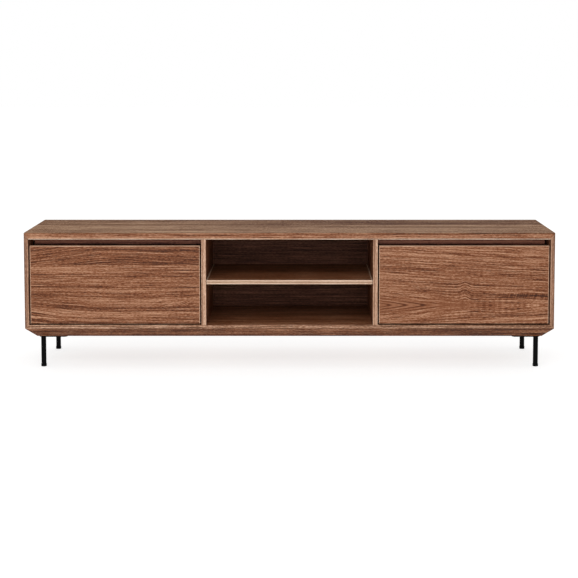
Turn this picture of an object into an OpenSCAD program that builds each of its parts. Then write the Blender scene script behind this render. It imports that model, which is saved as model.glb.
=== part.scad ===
// Long, low media console. A mitred walnut-veneer case stands on a bevelled
// base frame and four black tube legs. An open niche with one loose shelf is
// in the middle. A bay on each side is closed by a flap door, which drops
// forward on pivot pins and is opened through the finger slot above it.
//
// Millimetres. +Z is up, -Y is the front, and the origin is on the floor under
// the middle of the case. A side of -1 is the viewer's left and 1 the right.

/* [Case] */
// Width of the case
case_w = 2000; // [1700:10:2400]
// Depth of the case, front to rear
case_d = 450; // [400:5:560]
// Height of the case, from the base's underside to the top face
case_h = 400; // [340:5:500]
// Thickness of the top panel
top_t = 25; // [20:1:32]
// Thickness of each end panel
side_t = 18; // [18:1:25]
// Thickness of each upright beside the niche
divider_t = 19; // [18:1:25]
// Thickness of the deck under the niche and the bays
deck_t = 14; // [14:1:22]
// Clear width of the niche
niche_w = 630; // [450:10:700]
// Thickness of the back panels
back_t = 8; // [4:1:10]
// How far the back panels are set in from the rear edge
back_inset = 12; // [6:1:20]

/* [Doors] */
// Thickness of each flap door
door_t = 18; // [16:1:22]
// Gap beside and below each door
door_gap = 3.5; // [3:0.5:4]
// Height of the finger slot above each door
slot_h = 23.5; // [18:0.5:30]
// Setback of the rail that closes the top of the finger slot
slot_rail_setback = 94; // [60:1:120]
// Height of the slot rail
slot_rail_h = 31; // [26:1:40]

/* [Shelf] */
// Thickness of the loose shelf
shelf_t = 16; // [16:1:22]
// Setback of the shelf's front edge
shelf_setback = 5; // [0:1:30]

/* [Base] */
// Height of the bevelled base frame
base_h = 36; // [30:1:50]
// How far the bevel runs in under the case
bevel_in = 40; // [25:1:45]
// Width of a base rail's underside
rail_foot = 25; // [24:1:40]

/* [Legs] */
// Height of the legs, floor to base
leg_h = 120; // [80:5:180]
// Diameter of the leg tube
leg_d = 19; // [16:1:25]
// Distance from the case's edge to a leg's axis
leg_inset = 59; // [55:1:64]
// Side of the square leg plate
plate_w = 106; // [96:1:110]

/* [Hidden] */
$fn = 48;
walnut = "#94664b";
walnut_dark = "#5c3a2c";
beech = "#d2b48c";
black = "#1c1c1e";
steel = "#b8babd";

// levels
base_z = leg_h;
deck_z = base_z + base_h;
floor_z = deck_z + deck_t;
top_z = base_z + case_h;
ceiling_z = top_z - top_t;

// outlines in plan
half_w = case_w / 2;
half_d = case_d / 2;
bay_in = niche_w / 2 + divider_t;
bay_out = half_w - side_t;
back_y = half_d - back_inset - back_t;

// how far a cut runs past the face it opens
over = 1;

// joinery
groove = 5;
dowel_r = 4;
dowel_l = 30;
dowel_in_panel = 9;
dowel_y = [-150, 0, 150];
rail_dowel_r = 3;
rail_dowel_l = 24;
spline_t = 4;
spline_w = 12;
spline_stop = 30;
spline_pos = 0.42;
slot_rail_t = 16;
slot_rail_y = slot_rail_setback - half_d;
slot_rail_z = ceiling_z - slot_rail_h;

// doors
door_in = bay_in + door_gap;
door_out = bay_out - door_gap;
door_z = floor_z + door_gap;
door_top = ceiling_z - slot_h;
door_front = -half_d;
door_back = door_front + door_t;
arris = 1.5;

// pivot hinges
pivot_in = 7;
pivot_up = 9;
pivot_y = door_front + pivot_in;
pivot_z = door_z + pivot_up;
pin_r = 3;
pin_in_door = 28;
pin_in_housing = 10;
pin_end_gap = 0.5;
running_gap = 0.05;
housing_r = 5;
housing_l = 24;
housing_depth = 12;
hinge_plate_t = 2;
hinge_plate_w = 12;
hinge_plate_h = 44;
hinge_plate_edge = 2;
hinge_plate_y = door_front + hinge_plate_edge;
hinge_plate_z = door_z + hinge_plate_edge;
hinge_screw_r = 1.75;
hinge_screw_l = 20;
hinge_screw_head_t = 1.5;
hinge_screw_z = [26, 38];

// magnetic catches and their strike plates
catch_size = [16, 40, 16];
catch_drop = 32;
catch_z = door_top - catch_drop;
catch_gap = 0.3;
catch_screw_r = 1.6;
catch_screw_l = 26;
catch_screw_y = [12, 28];
strike_size = [12, 1.2, 20];
strike_shift = 1.5;
strike_screw_l = 11;
strike_screw_r = 1.5;

// loose shelf on pins
shelf_side_gap = 1.25;
shelf_back_gap = 2;
shelf_z = (floor_z + ceiling_z - shelf_t) / 2;
pin_span = 150;
shelf_pin_r = 2.5;
shelf_pin_reach = 8;

// cable outlets in the bays' back panels
outlet_x = (bay_in + bay_out) / 2;
outlet_up = 75;
outlet_z = floor_z + outlet_up;
outlet_r = 30;
outlet_bore_r = 26;
outlet_flange_r = 34;
outlet_flange_t = 2;

// base frame
rail_w = bevel_in + rail_foot;
bearer_w = 40;
block_w = 110;
base_screw_r = 2;
base_screw_head_r = 4;
base_screw_head_t = 3;
base_screw_in_deck = 8;
rail_screw_x = [-0.75, -0.45, -0.15, 0.15, 0.45, 0.75];
bearer_screw_y = 100;

// legs
leg_x = half_w - leg_inset;
leg_step = 1;
leg_y = half_d - leg_inset - leg_step;
leg_wall = 1.5;
plate_t = 4.5;
plate_edge = 14;
plate_corner = 8;
plate_screw_r = 2.5;
plate_screw_l = 24;
plate_screw_head_r = 4.5;
plate_screw_head_t = 2;
plate_screw_step = [30, 90];
glide_wall = 1;
glide_r = leg_d / 2 + glide_wall;
glide_h = 11;
glide_t = 3;

SIDES = [-1, 1];

// ---- shared shapes ----

// Box between two corners
module block(lo, hi) {
    translate(lo) cube(hi - lo);
}

// Draws a right-hand shape on the side asked for
module on_side(side) {
    mirror([side < 0 ? 1 : 0, 0, 0]) children();
}

// Draws a front shape at the front (-1) or at the rear (1)
module at_end(end) {
    mirror([0, end > 0 ? 1 : 0, 0]) children();
}

// Extrudes an outline given in x and z along the case's depth
module along_depth(length) {
    rotate([90, 0, 0]) linear_extrude(length, center = true) children();
}

// Round rod along x, from x0 to x1
module rod_x(x0, x1, r) {
    translate([x0, 0, 0]) rotate([0, 90, 0]) cylinder(x1 - x0, r = r);
}

// Round rod along y, from y0 to y1
module rod_y(y0, y1, r) {
    translate([0, y1, 0]) rotate([90, 0, 0]) cylinder(y1 - y0, r = r);
}

// Draws a right bay's outer fitting at both ends of the bay
module at_bay_ends() {
    children();
    translate([bay_in + bay_out, 0, 0]) mirror([1, 0, 0]) children();
}

// ---- joinery ----

// One spline across a mitre, which runs from its outer to its inner corner
module mitre_spline(outer, inner) {
    run = outer - inner;
    centre = inner + spline_pos * run;
    along_depth(case_d - 2 * spline_stop)
        translate(centre)
            rotate(atan2(run[1], run[0]))
                square([spline_t, spline_w], center = true);
}

// Plywood splines glued into the four corner mitres
module corner_splines() {
    color(beech)
        for (side = SIDES)
            on_side(side) {
                mitre_spline([half_w, top_z], [bay_out, ceiling_z]);
                mitre_spline([half_w, deck_z], [bay_out, floor_z]);
            }
}

// Beech dowels that join both uprights to the top and to the deck
module carcass_dowels() {
    color(beech)
        for (side = SIDES, y = dowel_y)
            on_side(side)
                translate([niche_w / 2 + divider_t / 2, y, 0]) {
                    translate([0, 0, floor_z - dowel_in_panel])
                        cylinder(dowel_l, r = dowel_r);
                    translate([0, 0, ceiling_z + dowel_in_panel - dowel_l])
                        cylinder(dowel_l, r = dowel_r);
                }
}

// Dowels in the ends of the slot rails
module slot_rail_dowels() {
    rail_mid = slot_rail_y + slot_rail_t / 2;
    color(beech)
        for (side = SIDES, part = [1 / 4, 3 / 4])
            on_side(side)
                at_bay_ends()
                    translate([bay_out + dowel_in_panel, rail_mid, slot_rail_z + part * slot_rail_h])
                        rod_x(-rail_dowel_l, 0, rail_dowel_r);
}

// ---- case ----

// Sheet that fills the back between two uprights and their grooves
module back_sheet(x0, x1) {
    block([x0 - groove, back_y, floor_z - groove],
          [x1 + groove, back_y + back_t, ceiling_z + groove]);
}

// All three back sheets, as the grooves they run in
module back_grooves() {
    back_sheet(-niche_w / 2, niche_w / 2);
    for (side = SIDES)
        on_side(side) back_sheet(bay_in, bay_out);
}

// Top panel, mitred at both ends
module top_panel() {
    color(walnut)
        difference() {
            along_depth(case_d)
                polygon([[-half_w, top_z], [half_w, top_z],
                         [bay_out, ceiling_z], [-bay_out, ceiling_z]]);
            corner_splines();
            carcass_dowels();
            back_grooves();
        }
}

// Deck that the uprights stand on, mitred to the end panels
module deck_panel() {
    color(walnut)
        difference() {
            along_depth(case_d)
                polygon([[-half_w, deck_z], [half_w, deck_z],
                         [bay_out, floor_z], [-bay_out, floor_z]]);
            corner_splines();
            carcass_dowels();
            back_grooves();
            base_screws();
        }
}

// End panel with mitred top and bottom edges
module side_panel(side) {
    color(walnut)
        difference() {
            on_side(side)
                along_depth(case_d)
                    polygon([[half_w, deck_z], [half_w, top_z],
                             [bay_out, ceiling_z], [bay_out, floor_z]]);
            corner_splines();
            slot_rail_dowels();
            back_grooves();
            on_side(side) housing_pocket();
            catch_screws();
        }
}

// Upright between the niche and a bay
module divider(side) {
    color(walnut)
        difference() {
            on_side(side)
                block([niche_w / 2, -half_d, floor_z], [bay_in, half_d, ceiling_z]);
            carcass_dowels();
            slot_rail_dowels();
            back_grooves();
            on_side(side)
                translate([bay_in + bay_out, 0, 0]) mirror([1, 0, 0]) housing_pocket();
            catch_screws();
            shelf_pins();
        }
}

// Rail behind the finger slot, under the top
module slot_rail(side) {
    color(walnut_dark)
        difference() {
            on_side(side)
                block([bay_in, slot_rail_y, slot_rail_z],
                      [bay_out, slot_rail_y + slot_rail_t, ceiling_z]);
            slot_rail_dowels();
        }
}

// Back panel of the niche
module back_panel_centre() {
    color(walnut_dark) back_sheet(-niche_w / 2, niche_w / 2);
}

// Back panel of a bay, with a hole for the cable grommet
module back_panel(side) {
    color(walnut_dark)
        on_side(side)
            difference() {
                back_sheet(bay_in, bay_out);
                translate([outlet_x, 0, outlet_z]) rod_y(back_y - over, half_d, outlet_r);
            }
}

// Flanged plastic sleeve that lines a cable hole
module cable_grommet(side) {
    rear = back_y + back_t;
    color(black)
        on_side(side)
            translate([outlet_x, 0, outlet_z])
                difference() {
                    union() {
                        rod_y(back_y, rear, outlet_r);
                        rod_y(rear, rear + outlet_flange_t, outlet_flange_r);
                    }
                    rod_y(back_y - over, half_d, outlet_bore_r);
                }
}

// ---- niche shelf ----

// Loose shelf, resting on four pins
module niche_shelf() {
    reach = niche_w / 2 - shelf_side_gap;
    color(walnut)
        block([-reach, shelf_setback - half_d, shelf_z],
              [reach, back_y - shelf_back_gap, shelf_z + shelf_t]);
}

// Steel pins, pushed into the uprights under the shelf
module shelf_pins() {
    color(steel)
        for (side = SIDES, end = [-1, 1])
            on_side(side)
                translate([niche_w / 2, end * pin_span, shelf_z - shelf_pin_r])
                    rod_x(-shelf_pin_reach, shelf_pin_reach, shelf_pin_r);
}

// ---- base frame ----

// Long base rail with a bevelled outer face and mitred ends
module base_rail_long(end) {
    color(walnut)
        difference() {
            at_end(end)
                intersection() {
                    rotate([90, 0, 90])
                        linear_extrude(case_w, center = true)
                            polygon([[-half_d, deck_z], [bevel_in - half_d, base_z],
                                     [rail_w - half_d, base_z], [rail_w - half_d, deck_z]]);
                    translate([0, 0, base_z])
                        linear_extrude(base_h)
                            polygon([[-half_w, -half_d], [half_w, -half_d],
                                     [half_w - rail_w, rail_w - half_d],
                                     [rail_w - half_w, rail_w - half_d]]);
                }
            base_screws();
        }
}

// Short base rail at one end of the case
module base_rail_short(side) {
    color(walnut)
        difference() {
            on_side(side)
                intersection() {
                    along_depth(case_d)
                        polygon([[half_w, deck_z], [half_w - bevel_in, base_z],
                                 [half_w - rail_w, base_z], [half_w - rail_w, deck_z]]);
                    translate([0, 0, base_z])
                        linear_extrude(base_h)
                            polygon([[half_w, -half_d], [half_w, half_d],
                                     [half_w - rail_w, half_d - rail_w],
                                     [half_w - rail_w, rail_w - half_d]]);
                }
            base_screws();
        }
}

// Cross bearer under one upright
module base_bearer(side) {
    mid = niche_w / 2 + divider_t / 2;
    color(beech)
        difference() {
            on_side(side)
                block([mid - bearer_w / 2, rail_w - half_d, base_z],
                      [mid + bearer_w / 2, half_d - rail_w, deck_z]);
            base_screws();
        }
}

// Block in one corner of the base frame, which the leg plate is screwed to
module corner_block(side, end) {
    corner = [half_w - rail_w, rail_w - half_d];
    color(beech)
        difference() {
            on_side(side)
                at_end(end)
                    block([corner[0] - block_w, corner[1], base_z],
                          [corner[0], corner[1] + block_w, deck_z]);
            leg_plate_screws();
        }
}

// One screw, driven up through the base into the deck
module base_screw() {
    translate([0, 0, base_z]) {
        cylinder(base_h + base_screw_in_deck, r = base_screw_r);
        cylinder(base_screw_head_t, r = base_screw_head_r);
    }
}

// Screws that hold the base frame to the deck
module base_screws() {
    foot_mid = rail_foot / 2 + bevel_in;
    color(steel)
        for (side = SIDES) {
            for (part = rail_screw_x)
                translate([part * half_w, side * (half_d - foot_mid), 0]) base_screw();
            translate([side * (half_w - foot_mid), 0, 0]) base_screw();
            for (end = [-1, 1])
                translate([side * (niche_w / 2 + divider_t / 2), end * bearer_screw_y, 0])
                    base_screw();
        }
}

// ---- legs ----

// Steel plate with cut corners, holding the leg at its outer corner
module leg_plate(side, end) {
    far = plate_edge - plate_w;
    color(black)
        difference() {
            on_side(side)
                at_end(end)
                    translate([leg_x, -leg_y, base_z - plate_t])
                        linear_extrude(plate_t)
                            polygon([[far, plate_corner - plate_edge],
                                     [far + plate_corner, -plate_edge],
                                     [plate_edge - plate_corner, -plate_edge],
                                     [plate_edge, plate_corner - plate_edge],
                                     [plate_edge, -far - plate_corner],
                                     [plate_edge - plate_corner, -far],
                                     [far + plate_corner, -far],
                                     [far, -far - plate_corner]]);
            leg_plate_screws();
        }
}

// Pan-head screws that hold the leg plates to the corner blocks
module leg_plate_screws() {
    first = plate_screw_step[0] - plate_edge;
    last = plate_screw_step[1] - plate_edge;
    color(steel)
        for (side = SIDES, end = [-1, 1], x = [first, last], y = [first, last])
            on_side(side)
                at_end(end)
                    translate([leg_x - x, y - leg_y, base_z - plate_t]) {
                        cylinder(plate_screw_l, r = plate_screw_r);
                        translate([0, 0, -plate_screw_head_t])
                            cylinder(plate_screw_head_t, r = plate_screw_head_r);
                    }
}

// Leg tube, welded under its plate
module leg(side, end) {
    color(black)
        translate([side * leg_x, end * leg_y, glide_t])
            difference() {
                cylinder(base_z - plate_t - glide_t, r = leg_d / 2);
                translate([0, 0, -over])
                    cylinder(base_z, r = leg_d / 2 - leg_wall);
            }
}

// Plastic cap over the foot of a leg
module glide(side, end) {
    color(black)
        translate([side * leg_x, end * leg_y, 0])
            difference() {
                cylinder(glide_h, r = glide_r);
                translate([0, 0, glide_t]) cylinder(glide_h, r = leg_d / 2);
            }
}

// ---- doors ----

// Flap door with its front arrises eased
module door(side) {
    color(walnut)
        on_side(side)
            difference() {
                translate([(door_in + door_out) / 2, 0, 0])
                    rotate([90, 0, 90])
                        linear_extrude(door_out - door_in, center = true)
                            polygon([[door_front + arris, door_z], [door_back, door_z],
                                     [door_back, door_top], [door_front + arris, door_top],
                                     [door_front, door_top - arris],
                                     [door_front, door_z + arris]]);
                at_bay_ends() {
                    hinge_plate_blank();
                    hinge_pin(pin_r);
                    hinge_plate_screws();
                    strike_screw();
                }
            }
}

// Recess for one hinge housing, with a round front end and a round rear end
module housing_pocket() {
    translate([bay_out, pivot_y, pivot_z]) {
        rod_x(0, housing_depth, housing_r);
        translate([0, housing_l, 0]) rod_x(0, housing_depth, housing_r);
        block([0, 0, -housing_r], [housing_depth, housing_l, housing_r]);
    }
}

// Damped pivot housings, let in flush at both ends of a bay
module hinge_housings(side) {
    bore_end = pin_in_housing + pin_end_gap;
    color(black)
        on_side(side)
            at_bay_ends()
                difference() {
                    housing_pocket();
                    translate([bay_out, pivot_y, pivot_z])
                        rod_x(-over, bore_end, pin_r + running_gap);
                }
}

// One pivot pin, from inside the door to inside its housing
module hinge_pin(r) {
    translate([door_out, pivot_y, pivot_z])
        rod_x(-pin_in_door, door_gap + pin_in_housing, r);
}

// Pivot pins at both ends of a door
module hinge_pins(side) {
    color(steel)
        on_side(side)
            at_bay_ends() hinge_pin(pin_r);
}

// Outline of one hinge plate, let into the end of the door
module hinge_plate_blank() {
    block([door_out - hinge_plate_t, hinge_plate_y, hinge_plate_z],
          [door_out, hinge_plate_y + hinge_plate_w, hinge_plate_z + hinge_plate_h]);
}

// Screws of one hinge plate, driven into the end of the door
module hinge_plate_screws() {
    for (z = hinge_screw_z)
        translate([door_out, hinge_plate_y + hinge_plate_w / 2, door_z + z]) {
            rod_x(-hinge_screw_l, 0, hinge_screw_r);
            rod_x(0, hinge_screw_head_t, 2 * hinge_screw_r);
        }
}

// Steel plates that anchor the pivot pins in the door's ends
module hinge_plates(side) {
    color(steel)
        on_side(side)
            at_bay_ends()
                difference() {
                    hinge_plate_blank();
                    hinge_pin(pin_r);
                    hinge_plate_screws();
                }
}

// Screws of the hinge plates
module hinge_screws(side) {
    color(steel)
        on_side(side)
            at_bay_ends() hinge_plate_screws();
}

// Magnetic catches at the top of a bay, one at each end
module catches(side) {
    front = door_back + strike_size[1] + catch_gap;
    color(black)
        difference() {
            on_side(side)
                at_bay_ends()
                    translate([bay_out - catch_size[0], front, catch_z])
                        cube(catch_size);
            catch_screws();
        }
}

// Screws that hold the catches to the end panels and uprights
module catch_screws() {
    front = door_back + strike_size[1] + catch_gap;
    color(steel)
        for (side = SIDES, y = catch_screw_y)
            on_side(side)
                at_bay_ends()
                    translate([bay_out - catch_size[0], front + y, catch_z + catch_size[2] / 2]) {
                        rod_x(0, catch_screw_l, catch_screw_r);
                        rod_x(-catch_screw_r, 0, 2 * catch_screw_r);
                    }
}

// Middle of one strike plate on the door's rear face
function strike_mid() =
    [bay_out - catch_size[0] / 2 - strike_shift, door_back, catch_z + catch_size[2] / 2];

// Small screw through one strike plate
module strike_screw() {
    translate(strike_mid())
        rod_y(-strike_screw_l, strike_size[1], strike_screw_r);
}

// Steel strike plates that the catches pull on
module strike_plates(side) {
    half = strike_size / 2;
    color(steel)
        on_side(side)
            at_bay_ends()
                difference() {
                    translate(strike_mid() - [half[0], 0, half[2]]) cube(strike_size);
                    strike_screw();
                }
}

// Screws of the strike plates
module strike_screws(side) {
    color(steel)
        on_side(side)
            at_bay_ends() strike_screw();
}

top_panel();
side_panel(-1);  // side_panel_left
side_panel(1);  // side_panel_right
divider(-1);  // divider_left
divider(1);  // divider_right
deck_panel();
corner_splines();
carcass_dowels();
slot_rail(-1);  // slot_rail_left
slot_rail(1);  // slot_rail_right
slot_rail_dowels();
back_panel(-1);  // back_panel_left
back_panel_centre();
back_panel(1);  // back_panel_right
cable_grommet(-1);  // cable_grommet_left
cable_grommet(1);  // cable_grommet_right
niche_shelf();
shelf_pins();
base_rail_long(-1);  // base_rail_front
base_rail_long(1);  // base_rail_rear
base_rail_short(-1);  // base_rail_left
base_rail_short(1);  // base_rail_right
base_bearer(-1);  // base_bearer_left
base_bearer(1);  // base_bearer_right
base_screws();
corner_block(-1, -1);  // corner_block_front_left
corner_block(1, -1);  // corner_block_front_right
corner_block(-1, 1);  // corner_block_rear_left
corner_block(1, 1);  // corner_block_rear_right
leg_plate(-1, -1);  // leg_plate_front_left
leg_plate(1, -1);  // leg_plate_front_right
leg_plate(-1, 1);  // leg_plate_rear_left
leg_plate(1, 1);  // leg_plate_rear_right
leg_plate_screws();
leg(-1, -1);  // leg_front_left
leg(1, -1);  // leg_front_right
leg(-1, 1);  // leg_rear_left
leg(1, 1);  // leg_rear_right
glide(-1, -1);  // glide_front_left
glide(1, -1);  // glide_front_right
glide(-1, 1);  // glide_rear_left
glide(1, 1);  // glide_rear_right
door(-1);  // door_left
door(1);  // door_right
hinge_housings(-1);  // hinge_housings_left
hinge_housings(1);  // hinge_housings_right
hinge_plates(-1);  // hinge_plates_left
hinge_plates(1);  // hinge_plates_right
hinge_pins(-1);  // hinge_pins_left
hinge_pins(1);  // hinge_pins_right
hinge_screws(-1);  // hinge_screws_left
hinge_screws(1);  // hinge_screws_right
catches(-1);  // catches_left
catches(1);  // catches_right
catch_screws();
strike_plates(-1);  // strike_plates_left
strike_plates(1);  // strike_plates_right
strike_screws(-1);  // strike_screws_left
strike_screws(1);  // strike_screws_right
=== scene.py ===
# Long, low media console in walnut veneer on four black tube legs, with an
# open niche in the middle and a flap door on each side. Metres throughout.
import math
import bmesh
import bpy
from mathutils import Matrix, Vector


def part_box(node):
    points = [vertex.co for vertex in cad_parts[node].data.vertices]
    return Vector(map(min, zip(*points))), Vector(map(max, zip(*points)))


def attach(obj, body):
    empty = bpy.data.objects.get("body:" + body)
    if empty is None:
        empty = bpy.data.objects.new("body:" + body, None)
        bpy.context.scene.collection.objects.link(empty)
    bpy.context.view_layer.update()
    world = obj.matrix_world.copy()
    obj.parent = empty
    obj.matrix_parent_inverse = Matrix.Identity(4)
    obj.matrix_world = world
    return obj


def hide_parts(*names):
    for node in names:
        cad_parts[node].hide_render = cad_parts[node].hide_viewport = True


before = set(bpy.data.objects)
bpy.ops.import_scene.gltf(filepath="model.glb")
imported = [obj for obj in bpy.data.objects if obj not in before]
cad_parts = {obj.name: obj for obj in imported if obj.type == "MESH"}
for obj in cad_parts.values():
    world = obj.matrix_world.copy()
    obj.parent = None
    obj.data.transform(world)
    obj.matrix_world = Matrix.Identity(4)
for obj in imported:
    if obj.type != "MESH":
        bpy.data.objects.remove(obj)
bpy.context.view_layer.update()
bpy.ops.object.select_all(action="DESELECT")


# ---- Dowels, splines and blocks ----
# Beech dowels, plywood splines in the mitres, and the blocks and bearers of the
# base. They are bare sanded timber, glued in and never seen from the front.

SIDES = {"left": -1, "right": 1}
ENDS = {"front": -1, "rear": 1}


class Wire:
    """A shader socket that takes part in ordinary arithmetic."""

    def __init__(self, finish, socket):
        self.finish = finish
        self.socket = socket

    def __add__(self, other):
        return self.finish.sums("ADD", self, other)

    __radd__ = __add__

    def __sub__(self, other):
        return self.finish.sums("SUBTRACT", self, other)

    def __rsub__(self, other):
        return self.finish.sums("SUBTRACT", other, self)

    def __mul__(self, other):
        return self.finish.sums("MULTIPLY", self, other)

    __rmul__ = __mul__

    def __truediv__(self, other):
        return self.finish.sums("DIVIDE", self, other)


class Finish:
    """One material, built node by node."""

    def __init__(self, name):
        self.material = bpy.data.materials.new(name)
        self.material.use_nodes = True
        self.tree = self.material.node_tree
        self.tree.nodes.clear()

    def node(self, kind, settings, inputs, output=0):
        """Adds a node: its settings first, then its sockets' values or wires."""
        node = self.tree.nodes.new(kind)
        for name, value in settings.items():
            if name == "stops":
                ramp = node.color_ramp
                for _ in value[2:]:
                    ramp.elements.new(1.0)
                for stop, (place, colour) in zip(ramp.elements, value):
                    stop.position = place
                    stop.color = (*colour, 1.0)
            else:
                setattr(node, name, value)
        for name, value in inputs.items():
            if isinstance(value, Wire):
                self.tree.links.new(value.socket, node.inputs[name])
            else:
                node.inputs[name].default_value = value
        return Wire(self, node.outputs[output]) if node.outputs else node

    def sums(self, operation, first, second=0.0):
        return self.node("ShaderNodeMath", {"operation": operation}, {0: first, 1: second})

    def place(self):
        """The three coordinates of a point on the piece."""
        where = self.node("ShaderNodeTexCoord", {}, {}, "Object")
        return [self.node("ShaderNodeSeparateXYZ", {}, {0: where}, axis) for axis in "XYZ"]

    def vector(self, x, y, z=0.0):
        return self.node("ShaderNodeCombineXYZ", {}, {0: x, 1: y, 2: z})

    def noise(self, where, scale=1.0, detail=2.0, roughness=0.5):
        inputs = {"Vector": where, "Scale": scale, "Detail": detail, "Roughness": roughness}
        return self.node("ShaderNodeTexNoise", {"noise_dimensions": "3D"}, inputs, "Fac")

    def rescale(self, value, low, high, to_low=0.0, to_high=1.0):
        inputs = {"Value": value, "From Min": low, "From Max": high, "To Min": to_low, "To Max": to_high}
        return self.node("ShaderNodeMapRange", {"clamp": True}, inputs)

    def ramp(self, stops, value):
        return self.node("ShaderNodeValToRGB", {"stops": stops}, {0: value})

    def bump(self, strength, depth, height):
        inputs = {"Strength": strength, "Distance": depth, "Height": height}
        return self.node("ShaderNodeBump", {}, inputs, "Normal")

    def surface(self, fixed, varied):
        """Joins the shader to the output: fixed values, then varied wires."""
        shader = self.node("ShaderNodeBsdfPrincipled", {}, {**fixed, **varied})
        self.node("ShaderNodeOutputMaterial", {}, {"Surface": shader})
        return self.material


BEECH_TONES = [(0.0, (0.40, 0.24, 0.13)), (0.5, (0.55, 0.36, 0.21)), (1.0, (0.68, 0.49, 0.31))]


def bare_timber(name, grain):
    """Sanded beech with short flecks along the grain axis, 0, 1 or 2."""
    finish = Finish(name)
    axes = finish.place()
    along = axes.pop(grain)
    across = axes[0] + axes[1]
    flecks = finish.noise(finish.vector(along * 90.0, across * 700.0), detail=2.0)
    bands = finish.noise(finish.vector(along * 3.0, across * 60.0), detail=4.0, roughness=0.6)
    tone = finish.rescale(flecks * 0.35 + bands * 0.65, 0.32, 0.68)
    varied = {
        "Base Color": finish.ramp(BEECH_TONES, tone),
        "Normal": finish.bump(0.2, 0.0002, flecks),
        "Roughness": tone * 0.1 + 0.6,
    }
    return finish.surface({"Specular IOR Level": 0.3}, varied)


def refinish(nodes, material):
    """Gives CAD nodes a material in every slot."""
    for name in nodes:
        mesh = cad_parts[name].data
        for index in range(len(mesh.materials)):
            mesh.materials[index] = material


BEECH_ALONG_X = bare_timber("beech_along_x", 0)
BEECH_ALONG_Y = bare_timber("beech_along_y", 1)
BEECH_ALONG_Z = bare_timber("beech_along_z", 2)
refinish(["slot_rail_dowels"], BEECH_ALONG_X)
refinish(["corner_splines", "base_bearer_left", "base_bearer_right"], BEECH_ALONG_Y)
refinish([f"corner_block_{end}_{side}" for end in ENDS for side in SIDES], BEECH_ALONG_Y)
refinish(["carcass_dowels"], BEECH_ALONG_Z)


# ---- Base frame ----
# Four solid walnut rails with a bevelled outer face, mitred at the corners and
# screwed up into the deck from below. Their upper arris meets the deck's edge.

WALNUT_TONES = [
    (0.0, (0.060, 0.014, 0.002)),
    (0.28, (0.142, 0.038, 0.009)),
    (0.52, (0.218, 0.077, 0.031)),
    (0.76, (0.298, 0.130, 0.065)),
    (1.0, (0.410, 0.216, 0.125)),
]
TONE_FLOOR = -0.45
TONE_CEILING = 1.55
SEAM_HALF = 0.0011


def oval(finish, along, across, centre, level, length, height):
    """A soft spot on the veneer: 1 in its middle, fading to 0."""
    u = (along - centre) / length
    v = (across - level) / height
    return finish.sums("EXPONENT", (u * u + v * v) * -1.0)


def follow(finish, along, across, nose=None, ridge=None, swells=()):
    """The course of the grain: its lines run where this value stays the same.

    nose is (start, level, roundness, slope, steep, reach, fade): the lines close into
    arches that point forwards, steeper close to their axis and dying out further along.
    ridge is (centre, roundness, left slope, right slope): the lines climb, then turn.
    Each swell is (along, across, length, height, push): the lines sag past a spot."""
    flow = across
    if nose is not None:
        start, level, roundness, slope, steep, reach, fade = nose
        gap = across - level
        on = along - start
        near = finish.sums("EXPONENT", gap * gap * (-1.0 / reach ** 2) - on * on * (1.0 / fade ** 2))
        flow = finish.sums("SQRT", gap * gap + roundness * roundness) + on * (near * steep + slope)
    if ridge is not None:
        centre, roundness, left, right = ridge
        off = along - centre
        turn = finish.sums("SQRT", off * off + roundness * roundness)
        flow = flow - off * ((left + right) / 2) + turn * ((left - right) / 2)
    for centre, level, length, height, push in swells:
        flow = flow + oval(finish, along, across, centre, level, length, height) * push
    return flow


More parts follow.
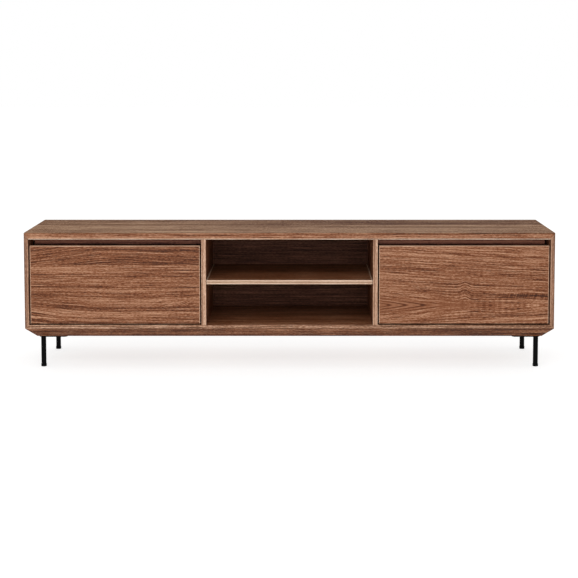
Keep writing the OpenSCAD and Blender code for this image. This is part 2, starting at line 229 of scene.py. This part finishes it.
def walnut(name, grain, seed, tones=WALNUT_TONES, lift=0.0, contrast=1.0, fold=1.0, gloss=0.42, shine=0.20,
           course=None, leaf=None, curl=None, arches=None, stripes=()):
    """Lacquered walnut with its grain along axis 0, 1 or 2.

    lift lightens the whole piece, and contrast parts its dark lines from its light ones.
    fold turns the grain over an arris: 1 or -1, as the two faces lean. gloss is the
    roughness, and shine the strength of the reflections.
    course bends the grain, and leaf is (edge, lift, course) for a second sheet above an edge.
    curl is (along, across, length, height, slope, depth), a spot with short flames that lean.
    arches is (along, across, length, height, pitch), a plain spot with thin dark rings.
    Each stripe is (across, half width, lift)."""
    finish = Finish(name)
    axes = finish.place()
    along = axes.pop(grain)
    across = axes[0] + axes[1] * fold
    flow = follow(finish, along, across, **(course or {}))
    shade = lift
    if leaf is not None:
        edge, leaf_lift, leaf_course = leaf
        upper = finish.sums("GREATER_THAN", across, edge)
        other = follow(finish, along, across, **leaf_course) + 0.37
        flow = flow + upper * (other - flow)
        seam = finish.sums("LESS_THAN", finish.sums("ABSOLUTE", across - edge), SEAM_HALF)
        shade = shade + upper * leaf_lift - seam * 0.35
    for level, half, stripe_lift in stripes:
        v = (across - level) / half
        shade = shade + finish.sums("EXPONENT", v * v * -1.0) * stripe_lift
    drift = finish.noise(finish.vector(along * 1.1 + seed, across * 3.5, seed), detail=1.0)
    sway = finish.noise(finish.vector(along * 5.0 + seed, across * 14.0, seed), detail=2.0)
    drawn = flow
    flow = drawn + (drift - 0.5) * 0.014 + (sway - 0.5) * 0.008
    bands = finish.noise(finish.vector(along * 0.6 + seed, flow * 34.0, seed), detail=2.0)
    lines = finish.noise(finish.vector(along * 0.8 + seed, flow * 200.0, seed), detail=3.0, roughness=0.68)
    fibres = finish.noise(finish.vector(along * 9.0, flow * 420.0, seed), detail=2.0)
    patches = finish.noise(finish.vector(along * 2.0 - seed, across * 9.0, seed), detail=2.0)
    pores = finish.rescale(finish.noise(finish.vector(along * 70.0, across * 1900.0, seed)), 0.60, 0.72)
    flecks = finish.noise(finish.vector(along * 85.0, flow * 360.0, seed), detail=3.0, roughness=0.7)
    rings = finish.noise(finish.vector(along * 0.5 - seed, flow * 105.0, seed), detail=1.0)
    veins = finish.rescale(finish.sums("ABSOLUTE", rings - 0.5), 0.0, 0.050, 1.0, 0.0)
    weave = bands * 0.34 + lines * 1.15 + fibres * 1.20 + flecks * 1.20 + patches * 0.31 - 2.10
    tone = weave * (1.9 * contrast) + 0.58 + shade - veins * 0.24 * contrast - pores * 0.07
    if arches is not None:
        *place, pitch = arches
        wave = finish.sums("SINE", (drawn + (sway - 0.5) * 0.0016) * (math.tau / pitch))
        ring = finish.rescale(wave, 0.10, 1.0)
        plain = (tone - 0.66) * -0.86 - ring * 0.58
        tone = tone + oval(finish, along, across, *place) * plain
    if curl is not None:
        *place, slope, depth = curl
        pace = 250.0 / math.hypot(1.0, slope)
        flames = finish.noise(finish.vector((across - along * slope) * pace, along * 9.0, seed), detail=1.0)
        tone = tone + oval(finish, along, across, *place) * ((flames - 0.5) * 2.4 + depth)
    span = TONE_CEILING - TONE_FLOOR
    darkest = [value * 0.5 for value in tones[0][1]]
    lightest = [value * 1.3 for value in tones[-1][1]]
    inner = [((place - TONE_FLOOR) / span, colour) for place, colour in tones]
    stops = [(0.0, darkest), *inner, (1.0, lightest)]
    varied = {
        "Base Color": finish.ramp(stops, (tone - TONE_FLOOR) / span),
        "Normal": finish.bump(0.25, 0.00025, fibres * 0.4 - pores),
        "Roughness": lines * 0.14 + pores * 0.10 + (gloss - 0.07),
    }
    return finish.surface({"Specular IOR Level": shine}, varied)


def add_board(name, low, high):
    """Adds a box between two corners and opens it for editing."""
    bpy.ops.object.select_all(action="DESELECT")
    low, high = Vector(low), Vector(high)
    bpy.ops.mesh.primitive_cube_add(size=1.0, location=(low + high) / 2, scale=high - low)
    bpy.ops.object.transform_apply(location=True, rotation=True, scale=True)
    piece = bpy.context.object
    piece.name = name
    bpy.ops.object.mode_set(mode="EDIT")
    return piece


def pick(piece, kind, test):
    """Selects the corners, edges or faces whose middle passes a test."""
    bpy.ops.mesh.select_mode(type={"verts": "VERT", "edges": "EDGE", "faces": "FACE"}[kind])
    bpy.ops.mesh.select_all(action="DESELECT")
    mesh = bmesh.from_edit_mesh(piece.data)
    for part in getattr(mesh, kind):
        if kind == "verts":
            part.select = test(part.co)
        elif kind == "edges":
            part.select = test((part.verts[0].co + part.verts[1].co) / 2, part.verts[0].co - part.verts[1].co)
        else:
            part.select = test(part.calc_center_median(), part.normal)
    mesh.select_flush_mode()
    bmesh.update_edit_mesh(piece.data)


def ease(piece, amount, test, segments=2):
    """Rounds the chosen arrises of a piece in edit mode."""
    pick(piece, "edges", test)
    bpy.ops.mesh.bevel(offset=amount, segments=segments, affect="EDGES", clamp_overlap=True)


def finish_piece(piece, body, node, materials, choose=None):
    """Closes a piece, gives it its materials, and puts it in its CAD node's place."""
    bpy.ops.object.mode_set(mode="OBJECT")
    for material in materials:
        piece.data.materials.append(material)
    if choose is not None:
        for face in piece.data.polygons:
            face.material_index = choose(face.center, face.normal)
    piece.select_set(False)
    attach(piece, body)
    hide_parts(node)


RAIL_ARRIS = 0.0012
BEVEL_IN = 0.040
NEAR = 1e-4
rail_low, rail_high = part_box("base_rail_front")
rail_w = rail_high.y - rail_low.y

for end, toward in ENDS.items():
    low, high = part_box(f"base_rail_{end}")
    rail = add_board(f"{end}_base_rail", low, high)
    outer, inner = (low.y, high.y) if toward < 0 else (high.y, low.y)
    pick(rail, "verts", lambda co: abs(co.y - outer) < NEAR and co.z < (low.z + high.z) / 2)
    bpy.ops.transform.translate(value=(0, -toward * BEVEL_IN, 0))
    for away in SIDES.values():
        edge = away * high.x
        pick(rail, "verts", lambda co: abs(co.x - edge) < NEAR and abs(co.y - inner) < NEAR)
        bpy.ops.transform.translate(value=(-away * rail_w, 0, 0))
        pick(rail, "verts", lambda co: abs(co.x - edge) < NEAR and co.z < (low.z + high.z) / 2)
        bpy.ops.transform.translate(value=(-away * BEVEL_IN, 0, 0))
    ease(rail, RAIL_ARRIS, lambda mid, run: mid.z < low.z + NEAR and abs(run.x) > rail_w)
    long_walnut = walnut(f"{end}_rail_walnut", 0, 3.1 + toward, fold=toward, lift=-0.35, contrast=1.5,
                         shine=0.08)
    finish_piece(rail, "carcass", f"base_rail_{end}", [long_walnut])

for side, away in SIDES.items():
    low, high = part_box(f"base_rail_{side}")
    rail = add_board(f"{side}_base_rail", low, high)
    outer, inner = (high.x, low.x) if away > 0 else (low.x, high.x)
    pick(rail, "verts", lambda co: abs(co.x - outer) < NEAR and co.z < (low.z + high.z) / 2)
    bpy.ops.transform.translate(value=(-away * BEVEL_IN, 0, 0))
    for toward in ENDS.values():
        edge = toward * high.y
        pick(rail, "verts", lambda co: abs(co.y - edge) < NEAR and abs(co.x - inner) < NEAR)
        bpy.ops.transform.translate(value=(0, -toward * rail_w, 0))
        pick(rail, "verts", lambda co: abs(co.y - edge) < NEAR and co.z < (low.z + high.z) / 2)
        bpy.ops.transform.translate(value=(0, -toward * BEVEL_IN, 0))
    ease(rail, RAIL_ARRIS, lambda mid, run: mid.z < low.z + NEAR and abs(run.y) > rail_w)
    short_walnut = walnut(f"{side}_rail_walnut", 1, 5.7 + away, fold=away, lift=-0.38, contrast=1.5,
                          shine=0.08)
    finish_piece(rail, "carcass", f"base_rail_{side}", [short_walnut])


# ---- Screws and pins ----
# Bright zinc-plated steel: the base and leg-plate screws, the catch screws, and
# the pins under the shelf. The plating is slightly cloudy from handling.

def zinc(name, dark, mid, bright):
    """Plated steel whose brightness wanders between three greys."""
    finish = Finish(name)
    x, y, z = finish.place()
    cloud = finish.noise(finish.vector(x * 160.0, y * 160.0, z * 160.0), detail=3.0)
    stops = [(0.0, (dark, dark, dark * 1.08)), (0.5, (mid, mid, mid * 1.04)), (1.0, (bright, bright, bright))]
    colour = finish.ramp(stops, finish.rescale(cloud, 0.3, 0.7))
    return finish.surface({"Metallic": 1.0}, {"Base Color": colour, "Roughness": cloud * 0.22 + 0.32})


ZINC = zinc("zinc_plate", 0.34, 0.46, 0.56)
# Zinc darkened almost to black is painted shade for the hinge plates, pins and screws that sit in the door
# gaps.
GAP_SHADE_ZINC = zinc("gap_shade_zinc_plate", 0.030, 0.045, 0.060)
refinish(["base_screws", "leg_plate_screws", "catch_screws", "shelf_pins"], ZINC)


# ---- Deck ----
# Veneered panel that carries the niche and both bays. Its ends are mitred into
# the end panels, and its front edge is the thin strip over the bevelled rail.

EDGE_ARRIS = 0.0007
LONG = 0.1
LEANS = 0.3
LIPPING_TONES = [
    (0.0, (0.215, 0.100, 0.056)),
    (0.35, (0.315, 0.165, 0.098)),
    (0.70, (0.415, 0.240, 0.152)),
    (1.0, (0.560, 0.360, 0.250)),
]
end_low, end_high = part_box("side_panel_right")
side_t = end_high.x - end_low.x
deck_low, deck_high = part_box("deck_panel")
deck = add_board("deck", deck_low, deck_high)
for away in SIDES.values():
    pick(deck, "verts", lambda co: co.x * away > 0 and co.z > deck_high.z - NEAR)
    bpy.ops.transform.translate(value=(-away * side_t, 0, 0))
ease(deck, EDGE_ARRIS, lambda mid, run: abs(run.x) > LONG and mid.y < 0)
deck_face = walnut("deck_walnut", 0, 8.3, lift=-0.02)
deck_edge = walnut("deck_edge_walnut", 0, 1.9, tones=LIPPING_TONES, lift=-0.48, contrast=1.7,
                   shine=0.10)
finish_piece(deck, "carcass", "deck_panel", [deck_face, deck_edge],
             lambda middle, normal: 1 if normal.y < -LEANS else 0)


# ---- End panels ----
# Veneered boards with upright grain, mitred top and bottom so that the figure
# turns the corner into the top. The pivot housings are let in near the floor.

top_low, top_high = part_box("top_panel")
top_t = top_high.z - top_low.z
deck_t = deck_high.z - deck_low.z
CUT_PLAY = (0.0002, 0.0002, 0.0002)
HOUSING_PLAY = (0.001, 0.0002, 0.0002)
BAY_ARRIS = 0.0015
HOUSING_CORNER = 0.0049
# Near-black walnut is painted shade: it darkens the arrises and faces beside the door gaps and the slot
# rails' end steps.
GAP_SHADE_TONES = [(0.0, (0.010, 0.004, 0.003)), (1.0, (0.030, 0.012, 0.008))]
GAP_SHADE = walnut("painted_gap_shade", 2, 9.4, tones=GAP_SHADE_TONES, shine=0.05)


def cut_recess(piece, low, high, play, corner=0.0):
    """Cuts a recess into a finished board, a little larger than what goes in."""
    cutter = add_board("recess_cutter", low - Vector(play), high + Vector(play))
    if corner > 0:
        ease(cutter, corner, lambda mid, run: abs(run.x) > NEAR and abs(run.y) + abs(run.z) < NEAR, 6)
    bpy.ops.object.mode_set(mode="OBJECT")
    cutter.select_set(False)
    bpy.context.view_layer.objects.active = piece
    recess = piece.modifiers.new("recess", "BOOLEAN")
    recess.object = cutter
    recess.solver = "EXACT"
    bpy.ops.object.modifier_apply(modifier=recess.name)
    bpy.data.objects.remove(cutter)


def solids(node):
    """The low and high corners of a node's left-hand and right-hand solids."""
    points = [v.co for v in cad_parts[node].data.vertices]
    middle = sum(p.x for p in points) / len(points)
    halves = [[p for p in points if p.x < middle], [p for p in points if p.x >= middle]]
    return [(Vector([min(p[i] for p in half) for i in range(3)]),
             Vector([max(p[i] for p in half) for i in range(3)])) for half in halves]


def board_part(bay):
    """Chooses a board's materials: sides, front edge, and painted shade on the arris by the bay."""
    def choose(middle, normal):
        if normal.x * bay > LEANS and normal.y < -LEANS:
            return 2
        return 1 if normal.y < -LEANS else 0
    return choose


for side, away in SIDES.items():
    low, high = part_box(f"side_panel_{side}")
    panel = add_board(f"{side}_end_panel", low, high)
    inner = low.x if away > 0 else high.x
    waist = (low.z + high.z) / 2
    pick(panel, "verts", lambda co: abs(co.x - inner) < NEAR and co.z > waist)
    bpy.ops.transform.translate(value=(0, 0, -top_t))
    pick(panel, "verts", lambda co: abs(co.x - inner) < NEAR and co.z < waist)
    bpy.ops.transform.translate(value=(0, 0, deck_t))
    ease(panel, EDGE_ARRIS, lambda mid, run: abs(run.z) > LONG and (
        mid.y > 0 or abs(mid.x - inner) > side_t / 2))
    ease(panel, BAY_ARRIS, lambda mid, run: abs(run.z) > LONG and (
        mid.y < low.y + NEAR and abs(mid.x - inner) < NEAR))
    edge_at = low.y + (low.x + high.x) / 2
    pale_line = (edge_at - away * side_t * 0.22, side_t * 0.16, 0.30)
    dark_line = (edge_at + away * side_t * 0.40, 0.004, -0.35)
    end_walnut = walnut(f"{side}_end_walnut", 2, 11.0 + away, contrast=0.8)
    end_edge = walnut(f"{side}_end_edge_walnut", 2, 14.0 + away, tones=LIPPING_TONES,
                      lift=-0.48 + 0.04 * away, stripes=[pale_line, dark_line])
    # The arris by the bay takes the near-black painted shade, which widens the dark door gap.
    finish_piece(panel, "carcass", f"side_panel_{side}",
                 [end_walnut, end_edge, GAP_SHADE], board_part(-away))
    cut_recess(panel, *solids(f"hinge_housings_{side}")[away > 0], HOUSING_PLAY, HOUSING_CORNER)


# ---- Uprights ----
# The two boards between the niche and the bays, standing on the deck with their
# grain upright. Dowels hold them, and the back panels run in their grooves.

for side, away in SIDES.items():
    low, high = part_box(f"divider_{side}")
    upright = add_board(f"{side}_upright", low, high)
    middle_x = (low.x + high.x) / 2
    ease(upright, EDGE_ARRIS, lambda mid, run: abs(run.z) > LONG and (
        mid.y > 0 or mid.x * away < middle_x * away))
    ease(upright, BAY_ARRIS, lambda mid, run: abs(run.z) > LONG and (
        mid.y < 0 and mid.x * away > middle_x * away))
    dark_line = (low.y + low.x * 0.70 + high.x * 0.30, 0.0012, -0.40)
    pale_line = (low.y + high.x - 0.004, 0.003, 0.25)
    upright_walnut = walnut(f"{side}_upright_walnut", 2, 17.0 + away, lift=-0.12)
    upright_edge = walnut(f"{side}_upright_edge_walnut", 2, 20.0 + away, tones=LIPPING_TONES,
                          lift=0.05, stripes=[dark_line, pale_line])
    # The arris by the bay takes the near-black painted shade, which widens the dark door gap.
    finish_piece(upright, "carcass", f"divider_{side}",
                 [upright_walnut, upright_edge, GAP_SHADE], board_part(away))
    cut_recess(upright, *solids(f"hinge_housings_{side}")[away < 0], HOUSING_PLAY, HOUSING_CORNER)


# ---- Top ----
# One veneered panel with its grain along the length, mitred at both ends. The
# lower front arris is eased more than the others, and its pale colour is a painted highlight.

TOP_TONES = [
    (0.0, (0.078, 0.026, 0.013)),
    (0.30, (0.145, 0.060, 0.031)),
    (0.55, (0.224, 0.112, 0.060)),
    (0.78, (0.306, 0.176, 0.102)),
    (1.0, (0.410, 0.268, 0.172)),
]
PALE_TONES = [
    (0.0, (0.360, 0.200, 0.120)),
    (0.5, (0.560, 0.390, 0.280)),
    (1.0, (0.740, 0.560, 0.430)),
]
LOWER_ARRIS = 0.0032
SQUARE = 0.9
LEAF_OVER = 0.030
top = add_board("top", top_low, top_high)
for away in SIDES.values():
    pick(top, "verts", lambda co: co.x * away > 0 and co.z < top_low.z + NEAR)
    bpy.ops.transform.translate(value=(-away * side_t, 0, 0))
ease(top, EDGE_ARRIS, lambda mid, run: mid.z > top_high.z - NEAR)
ease(top, LOWER_ARRIS, lambda mid, run: abs(run.x) > LONG and mid.z < top_low.z + NEAR and mid.y < 0)
dark_line = (top_low.y + top_high.z - 0.003, 0.003, -0.10)
pale_line = (top_low.y + top_low.z + 0.008, 0.004, 0.15)
top_walnut = walnut("top_walnut", 0, 23.0, tones=TOP_TONES, lift=0.12, contrast=1.7, gloss=0.65,
                    shine=0.02, leaf=(top_high.z + LEAF_OVER, -0.34, {}))
top_edge = walnut("top_edge_walnut", 0, 26.0, lift=0.05, stripes=[dark_line, pale_line])
# The pale tones on the lower front arris are a painted highlight.
top_arris_highlight = walnut("top_arris_walnut", 0, 29.0, tones=PALE_TONES, lift=0.26)


def top_part(middle, normal):
    if normal.y < -LEANS and normal.z < -LEANS:
        return 2
    return 1 if normal.y < -SQUARE else 0


finish_piece(top, "carcass", "top_panel", [top_walnut, top_edge, top_arris_highlight], top_part)


# ---- Back panels ----
# Thin veneered sheets that slide into grooves from the rear before the top goes
# on. Each bay's sheet has a cable hole, which a black flanged sleeve lines.

# The back sheets take darker tones as painted shade for the dim inside of the niche and the bays.
PAINTED_SHADE_BACK_TONES = [
    (0.0, (0.042, 0.015, 0.009)),
    (0.35, (0.085, 0.032, 0.019)),
    (0.70, (0.135, 0.055, 0.033)),
    (1.0, (0.200, 0.088, 0.054)),
]
for index, place in enumerate(["left", "centre", "right"]):
    sheet_walnut = walnut(f"{place}_back_walnut", 0, 31.0 + index, tones=PAINTED_SHADE_BACK_TONES, lift=-0.08, shine=0.04)
    refinish([f"back_panel_{place}"], sheet_walnut)

BLACK_TONES = [(0.0, (0.0010, 0.0010, 0.0012)), (1.0, (0.0035, 0.0035, 0.0040))]


def moulded_black(name, grit, rough):
    """Black plastic or powder coat with a fine texture."""
    finish = Finish(name)
    x, y, z = finish.place()
    grain = finish.noise(finish.vector(x * grit, y * grit, z * grit), detail=2.0)
    broad = finish.noise(finish.vector(x * 30.0, y * 30.0, z * 30.0), detail=2.0)
    varied = {
        "Base Color": finish.ramp(BLACK_TONES, broad),
        "Normal": finish.bump(0.3, 0.0001, grain),
        "Roughness": broad * 0.12 + rough,
    }
    return finish.surface({"Specular IOR Level": 0.04}, varied)


BLACK_PLASTIC = moulded_black("black_plastic", 2200.0, 0.46)
refinish(["cable_grommet_left", "cable_grommet_right"], BLACK_PLASTIC)


# ---- Slot rails ----
# A dark walnut rail behind each finger slot, dowelled between the upright and
# the end panel. A step at the outer end, its faces in near-black painted shade, leaves a small dark gap by
# the panel.

END_GAP = 0.005
STEP_IN = 0.0028
SLOT_TONES = [
    (0.0, (0.060, 0.011, 0.006)),
    (0.5, (0.250, 0.068, 0.036)),
    (1.0, (0.460, 0.170, 0.100)),
]
for side, away in SIDES.items():
    low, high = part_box(f"slot_rail_{side}")
    rail = add_board(f"{side}_slot_rail", low, high)
    ease(rail, EDGE_ARRIS, lambda mid, run: abs(run.x) > LONG and mid.z < high.z - NEAR)
    bpy.ops.object.mode_set(mode="OBJECT")
    end_x = high.x if away > 0 else low.x
    gap_from, gap_to = sorted((end_x, end_x - away * END_GAP))
    cut_recess(rail, Vector((gap_from, low.y, low.z)), Vector((gap_to, low.y + STEP_IN, high.z)), CUT_PLAY)
    bpy.ops.object.mode_set(mode="EDIT")
    rail_level = low.y + high.z
    upper_shadow = (rail_level - 0.009, 0.0050, -1.2)
    lower_shadow = (rail_level - 0.031, 0.0065, -1.2)
    rail_walnut = walnut(f"{side}_slot_walnut", 0, 37.0 + away, tones=SLOT_TONES,
                         lift=0.74 + 0.18 * away, stripes=[upper_shadow, lower_shadow])
    finish_piece(rail, "carcass", f"slot_rail_{side}", [rail_walnut, GAP_SHADE],
                 lambda middle, normal: 1 if abs(middle.x - end_x) < END_GAP + CUT_PLAY[0] * 2 else 0)


# ---- Niche shelf ----
# Loose veneered shelf on four steel pins. Its front edge has a pale solid
# lipping, and it clears the uprights by just over a millimetre.

shelf_low, shelf_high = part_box("niche_shelf")
shelf = add_board("loose_shelf", shelf_low, shelf_high)
shelf_middle = shelf_low.y + (shelf_low.z + shelf_high.z) / 2
# A thin pale band at each end of the shelf is a painted highlight along its end arrises. The front lipping
# shares the same pale finish.
END_HIGHLIGHT_T = 0.005
for away in SIDES.values():
    bpy.ops.mesh.select_all(action="SELECT")
    bpy.ops.mesh.bisect(plane_co=(away * (shelf_high.x - END_HIGHLIGHT_T), 0, 0), plane_no=(1, 0, 0))
ease(shelf, EDGE_ARRIS, lambda mid, run: abs(run.x) > NEAR)
shelf_walnut = walnut("shelf_walnut", 0, 41.0, lift=-0.10, contrast=1.2, shine=0.10)
shelf_edge = walnut("shelf_edge_walnut", 0, 43.0, tones=PALE_TONES, contrast=0.6,
                    stripes=[(shelf_middle, 0.0022, -0.75)])
finish_piece(shelf, "carcass", "niche_shelf", [shelf_walnut, shelf_edge],
             lambda middle, normal: 1 if normal.y < -LEANS or abs(middle.x) > shelf_high.x - END_HIGHLIGHT_T else 0)


# ---- Legs ----
# Round steel tube welded under a square plate near the plate's outer corner,
# powder coated satin black. A moulded cap on the foot keeps it off the floor.

POWDER_COAT = moulded_black("satin_powder_coat", 900.0, 0.30)
GLIDE_PLASTIC = moulded_black("glide_plastic", 1500.0, 0.42)
TUBE_STEPS = 64
LEVEL = 1e-5
PLATE_CORNER = 0.008
PLATE_ARRIS = 0.0005
TUBE_ARRIS = 0.0008
GLIDE_ARRIS = 0.0015


def add_round(name, low, high):
    """Adds an upright cylinder that fills a box, and opens it for editing."""
    bpy.ops.object.select_all(action="DESELECT")
    bpy.ops.mesh.primitive_cylinder_add(vertices=TUBE_STEPS, radius=(high.x - low.x) / 2,
                                        depth=high.z - low.z, location=(low + high) / 2)
    bpy.ops.object.transform_apply(location=True, rotation=True, scale=True)
    piece = bpy.context.object
    piece.name = name
    bpy.ops.object.mode_set(mode="EDIT")
    return piece


def round_smooth():
    """Smooths the round faces of the piece being edited, but not the flat ends."""
    bpy.ops.object.mode_set(mode="OBJECT")
    bpy.ops.object.shade_smooth_by_angle(angle=math.radians(35))
    bpy.ops.object.mode_set(mode="EDIT")


for end in ENDS:
    for side in SIDES:
        low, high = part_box(f"leg_plate_{end}_{side}")
        plate = add_board(f"{end}_{side}_leg_plate", low, high)
        ease(plate, PLATE_CORNER, lambda mid, run: abs(run.z) > LEVEL, 1)
        ease(plate, PLATE_ARRIS, lambda mid, run: abs(run.z) < LEVEL, 1)
        finish_piece(plate, "carcass", f"leg_plate_{end}_{side}", [POWDER_COAT])

        low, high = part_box(f"leg_{end}_{side}")
        tube = add_round(f"{end}_{side}_leg_tube", low, high)
        ease(tube, TUBE_ARRIS, lambda mid, run: abs(run.z) < LEVEL)
        round_smooth()
        finish_piece(tube, "carcass", f"leg_{end}_{side}", [POWDER_COAT])

        low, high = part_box(f"glide_{end}_{side}")
        glide = add_round(f"{end}_{side}_glide", low, high)
        ease(glide, GLIDE_ARRIS, lambda mid, run: abs(run.z) < LEVEL, 3)
        round_smooth()
        finish_piece(glide, "carcass", f"glide_{end}_{side}", [GLIDE_PLASTIC])


# ---- Housings and catches ----
# Moulded pivot housings let in flush at both ends of each bay, and magnetic
# catches screwed to the bay's sides behind the top corners of the door.

refinish([f"hinge_housings_{side}" for side in SIDES], BLACK_PLASTIC)
refinish([f"catches_{side}" for side in SIDES], BLACK_PLASTIC)


# ---- Doors ----
# Flap doors of veneered board with a pale lipping along the top and both ends.
# Steel plates let into the ends anchor the pins, and strike plates meet the catches.

LIPPING_W = 0.0030
FOOT_ARRIS = 0.0025
LEAF_H = 0.073
ARCH_DROP = 0.2255
for side, away in SIDES.items():
    low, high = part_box(f"door_{side}")
    door = add_board(f"{side}_flap_door", low, high)
    pick(door, "faces", lambda middle, normal: normal.y < -SQUARE)
    bpy.ops.mesh.inset(thickness=LIPPING_W)
    ease(door, FOOT_ARRIS, lambda mid, run: mid.y < low.y + NEAR and abs(mid.z - low.z) < NEAR, 1)
    ease(door, BAY_ARRIS, lambda mid, run: mid.y < low.y + NEAR and (
        abs(mid.x - low.x) < NEAR or abs(mid.x - high.x) < NEAR or abs(mid.z - high.z) < NEAR))

    def at(x, drop):
        """A place on the veneer, from the door's upper left corner."""
        return low.x + x, high.z - drop + low.y

    if away < 0:
        figure = {
            "course": {"swells": [(*at(0.41, 0.205), 0.17, 0.035, 0.011),
                                  (*at(-0.06, 0.240), 0.17, 0.045, -0.026)]},
            "leaf": (at(0, LEAF_H)[1], -0.20, {"ridge": (at(0.27, 0)[0], 0.06, 0.126, -0.022)}),
            "curl": (*at(0.56, 0.222), 0.085, 0.013, 0.42, 0.12),
            "stripes": [(at(0, LEAF_H + 0.011)[1], 0.010, 0.20), (at(0, 0.290)[1], 0.016, -0.14)],
        }
    else:
        figure = {
            "course": {"nose": (*at(0, ARCH_DROP), 0.004, 0.045, 0.095, 0.030, 0.42),
                       "swells": [(*at(0.50, 0.245), 0.10, 0.024, -0.006),
                                  (*at(0.325, 0.160), 0.018, 0.050, -0.010)]},
            "curl": (*at(0.57, 0.190), 0.080, 0.012, 3.0, -0.42),
            "arches": (*at(0.08, ARCH_DROP), 0.25, 0.024, 0.0078),
            "stripes": [(at(0, 0.208)[1], 0.0022, 0.30)],
        }
    face = walnut(f"{side}_door_walnut", 0, 47.0 + away, contrast=1.03, **figure)
    lipping = walnut(f"{side}_door_lipping", 0, 53.0 + away, tones=LIPPING_TONES, lift=0.12)
    inside = walnut(f"{side}_door_inside_walnut", 0, 57.0 + away, lift=-0.06)

    def door_part(middle, normal):
        if normal.y > SQUARE:
            return 2
        rim = min(middle.x - low.x, high.x - middle.x, high.z - middle.z)
        # The door's ends, foot and side arrises take the near-black painted shade, so the gaps round the door
        # read dark.
        if normal.y > -SQUARE:
            return 1 if normal.z > LEANS else 3
        return 1 if rim < LIPPING_W else 0

    finish_piece(door, f"door_{side}", f"door_{side}",
                 [face, lipping, inside, GAP_SHADE], door_part)
    for plate_low, plate_high in solids(f"hinge_plates_{side}"):
        cut_recess(door, plate_low, plate_high, CUT_PLAY)
    refinish([f"strike_plates_{side}", f"strike_screws_{side}"], ZINC)
    # The hinge hardware takes the near-black zinc as painted shade in the gaps.
    refinish([f"hinge_plates_{side}", f"hinge_pins_{side}", f"hinge_screws_{side}"], GAP_SHADE_ZINC)


# ---- Floor, light and camera ----
# A plain pale floor under soft studio light, seen from standing height straight
# in front of the console.

bpy.ops.object.select_all(action="DESELECT")
bpy.ops.mesh.primitive_plane_add(size=60.0, location=(0, 0, 0))
floor = bpy.context.object
floor.name = "studio_floor"
paper = Finish("pale_floor")
paper_x, paper_y, paper_z = paper.place()
mottle = paper.noise(paper.vector(paper_x * 3.0, paper_y * 3.0, paper_z), detail=2.0)
paper_colour = paper.ramp([(0.0, (0.36, 0.36, 0.36)), (1.0, (0.39, 0.39, 0.39))], mottle)
paper_fixed = {
    "Specular IOR Level": 0.0,
    "Roughness": 0.9,
    "Emission Color": (1, 1, 1, 1),
    "Emission Strength": 0.74,
}
floor.data.materials.append(paper.surface(paper_fixed, {"Base Color": paper_colour}))


class Sky(Finish):
    """The light round the console, built with the same nodes as a finish."""

    def __init__(self, name):
        self.world = bpy.data.worlds.new(name)
        self.world.use_nodes = True
        self.tree = self.world.node_tree
        self.tree.nodes.clear()


# The sky is white to the eye. It lights the room from above, but hardly from the horizon.
sky = Sky("studio")
bpy.context.scene.world = sky.world
outward = sky.node("ShaderNodeTexCoord", {}, {}, "Generated")
height = sky.node("ShaderNodeSeparateXYZ", {}, {0: outward}, "Z")
lit = {"Value": height, "From Min": 0.12, "From Max": 0.60, "To Min": 0.11, "To Max": 0.84}
glow = sky.node("ShaderNodeMapRange", {"interpolation_type": "SMOOTHSTEP"}, lit)
seen = sky.node("ShaderNodeLightPath", {}, {}, "Is Camera Ray")
strength = sky.node("ShaderNodeMix", {}, {"Factor": seen, "A": glow, "B": 1.0})
backdrop = sky.node("ShaderNodeBackground", {}, {"Color": (1, 1, 1, 1), "Strength": strength})
sky.node("ShaderNodeOutputWorld", {}, {"Surface": backdrop})


def softbox(name, place, aim, width, height, watts):
    """Hangs a rectangular lamp in a place and aims it at a point."""
    light = bpy.data.lights.new(name, "AREA")
    light.shape = "RECTANGLE"
    light.size = width
    light.size_y = height
    light.energy = watts
    lamp = bpy.data.objects.new(name, light)
    lamp.location = place
    lamp.rotation_euler = (Vector(aim) - Vector(place)).to_track_quat("-Z", "Y").to_euler()
    bpy.context.scene.collection.objects.link(lamp)


softbox("key", (-0.8, -4.2, 3.0), (0, 0, 0.3), 4.0, 2.0, 70)
softbox("low_fill", (0.0, -6.5, 1.25), (0, 0, 0.35), 4.0, 0.8, 75)
softbox("rear_key", (0.8, 4.2, 3.0), (0, 0, 0.3), 4.0, 2.0, 45)

CAMERA_PITCH = math.radians(4.53)
camera = bpy.data.cameras.new("camera")
camera.lens = 88.2
camera.sensor_width = 36.0
camera.shift_x = -0.0192
camera.shift_y = -0.2
camera.clip_end = 100.0
eye = bpy.data.objects.new("camera", camera)
eye.location = (0.040, -5.516, 1.164)
eye.rotation_euler = (math.pi / 2 - CAMERA_PITCH, 0, 0)
bpy.context.scene.collection.objects.link(eye)
bpy.context.scene.camera = eye
bpy.context.scene.view_settings.view_transform = "Standard"
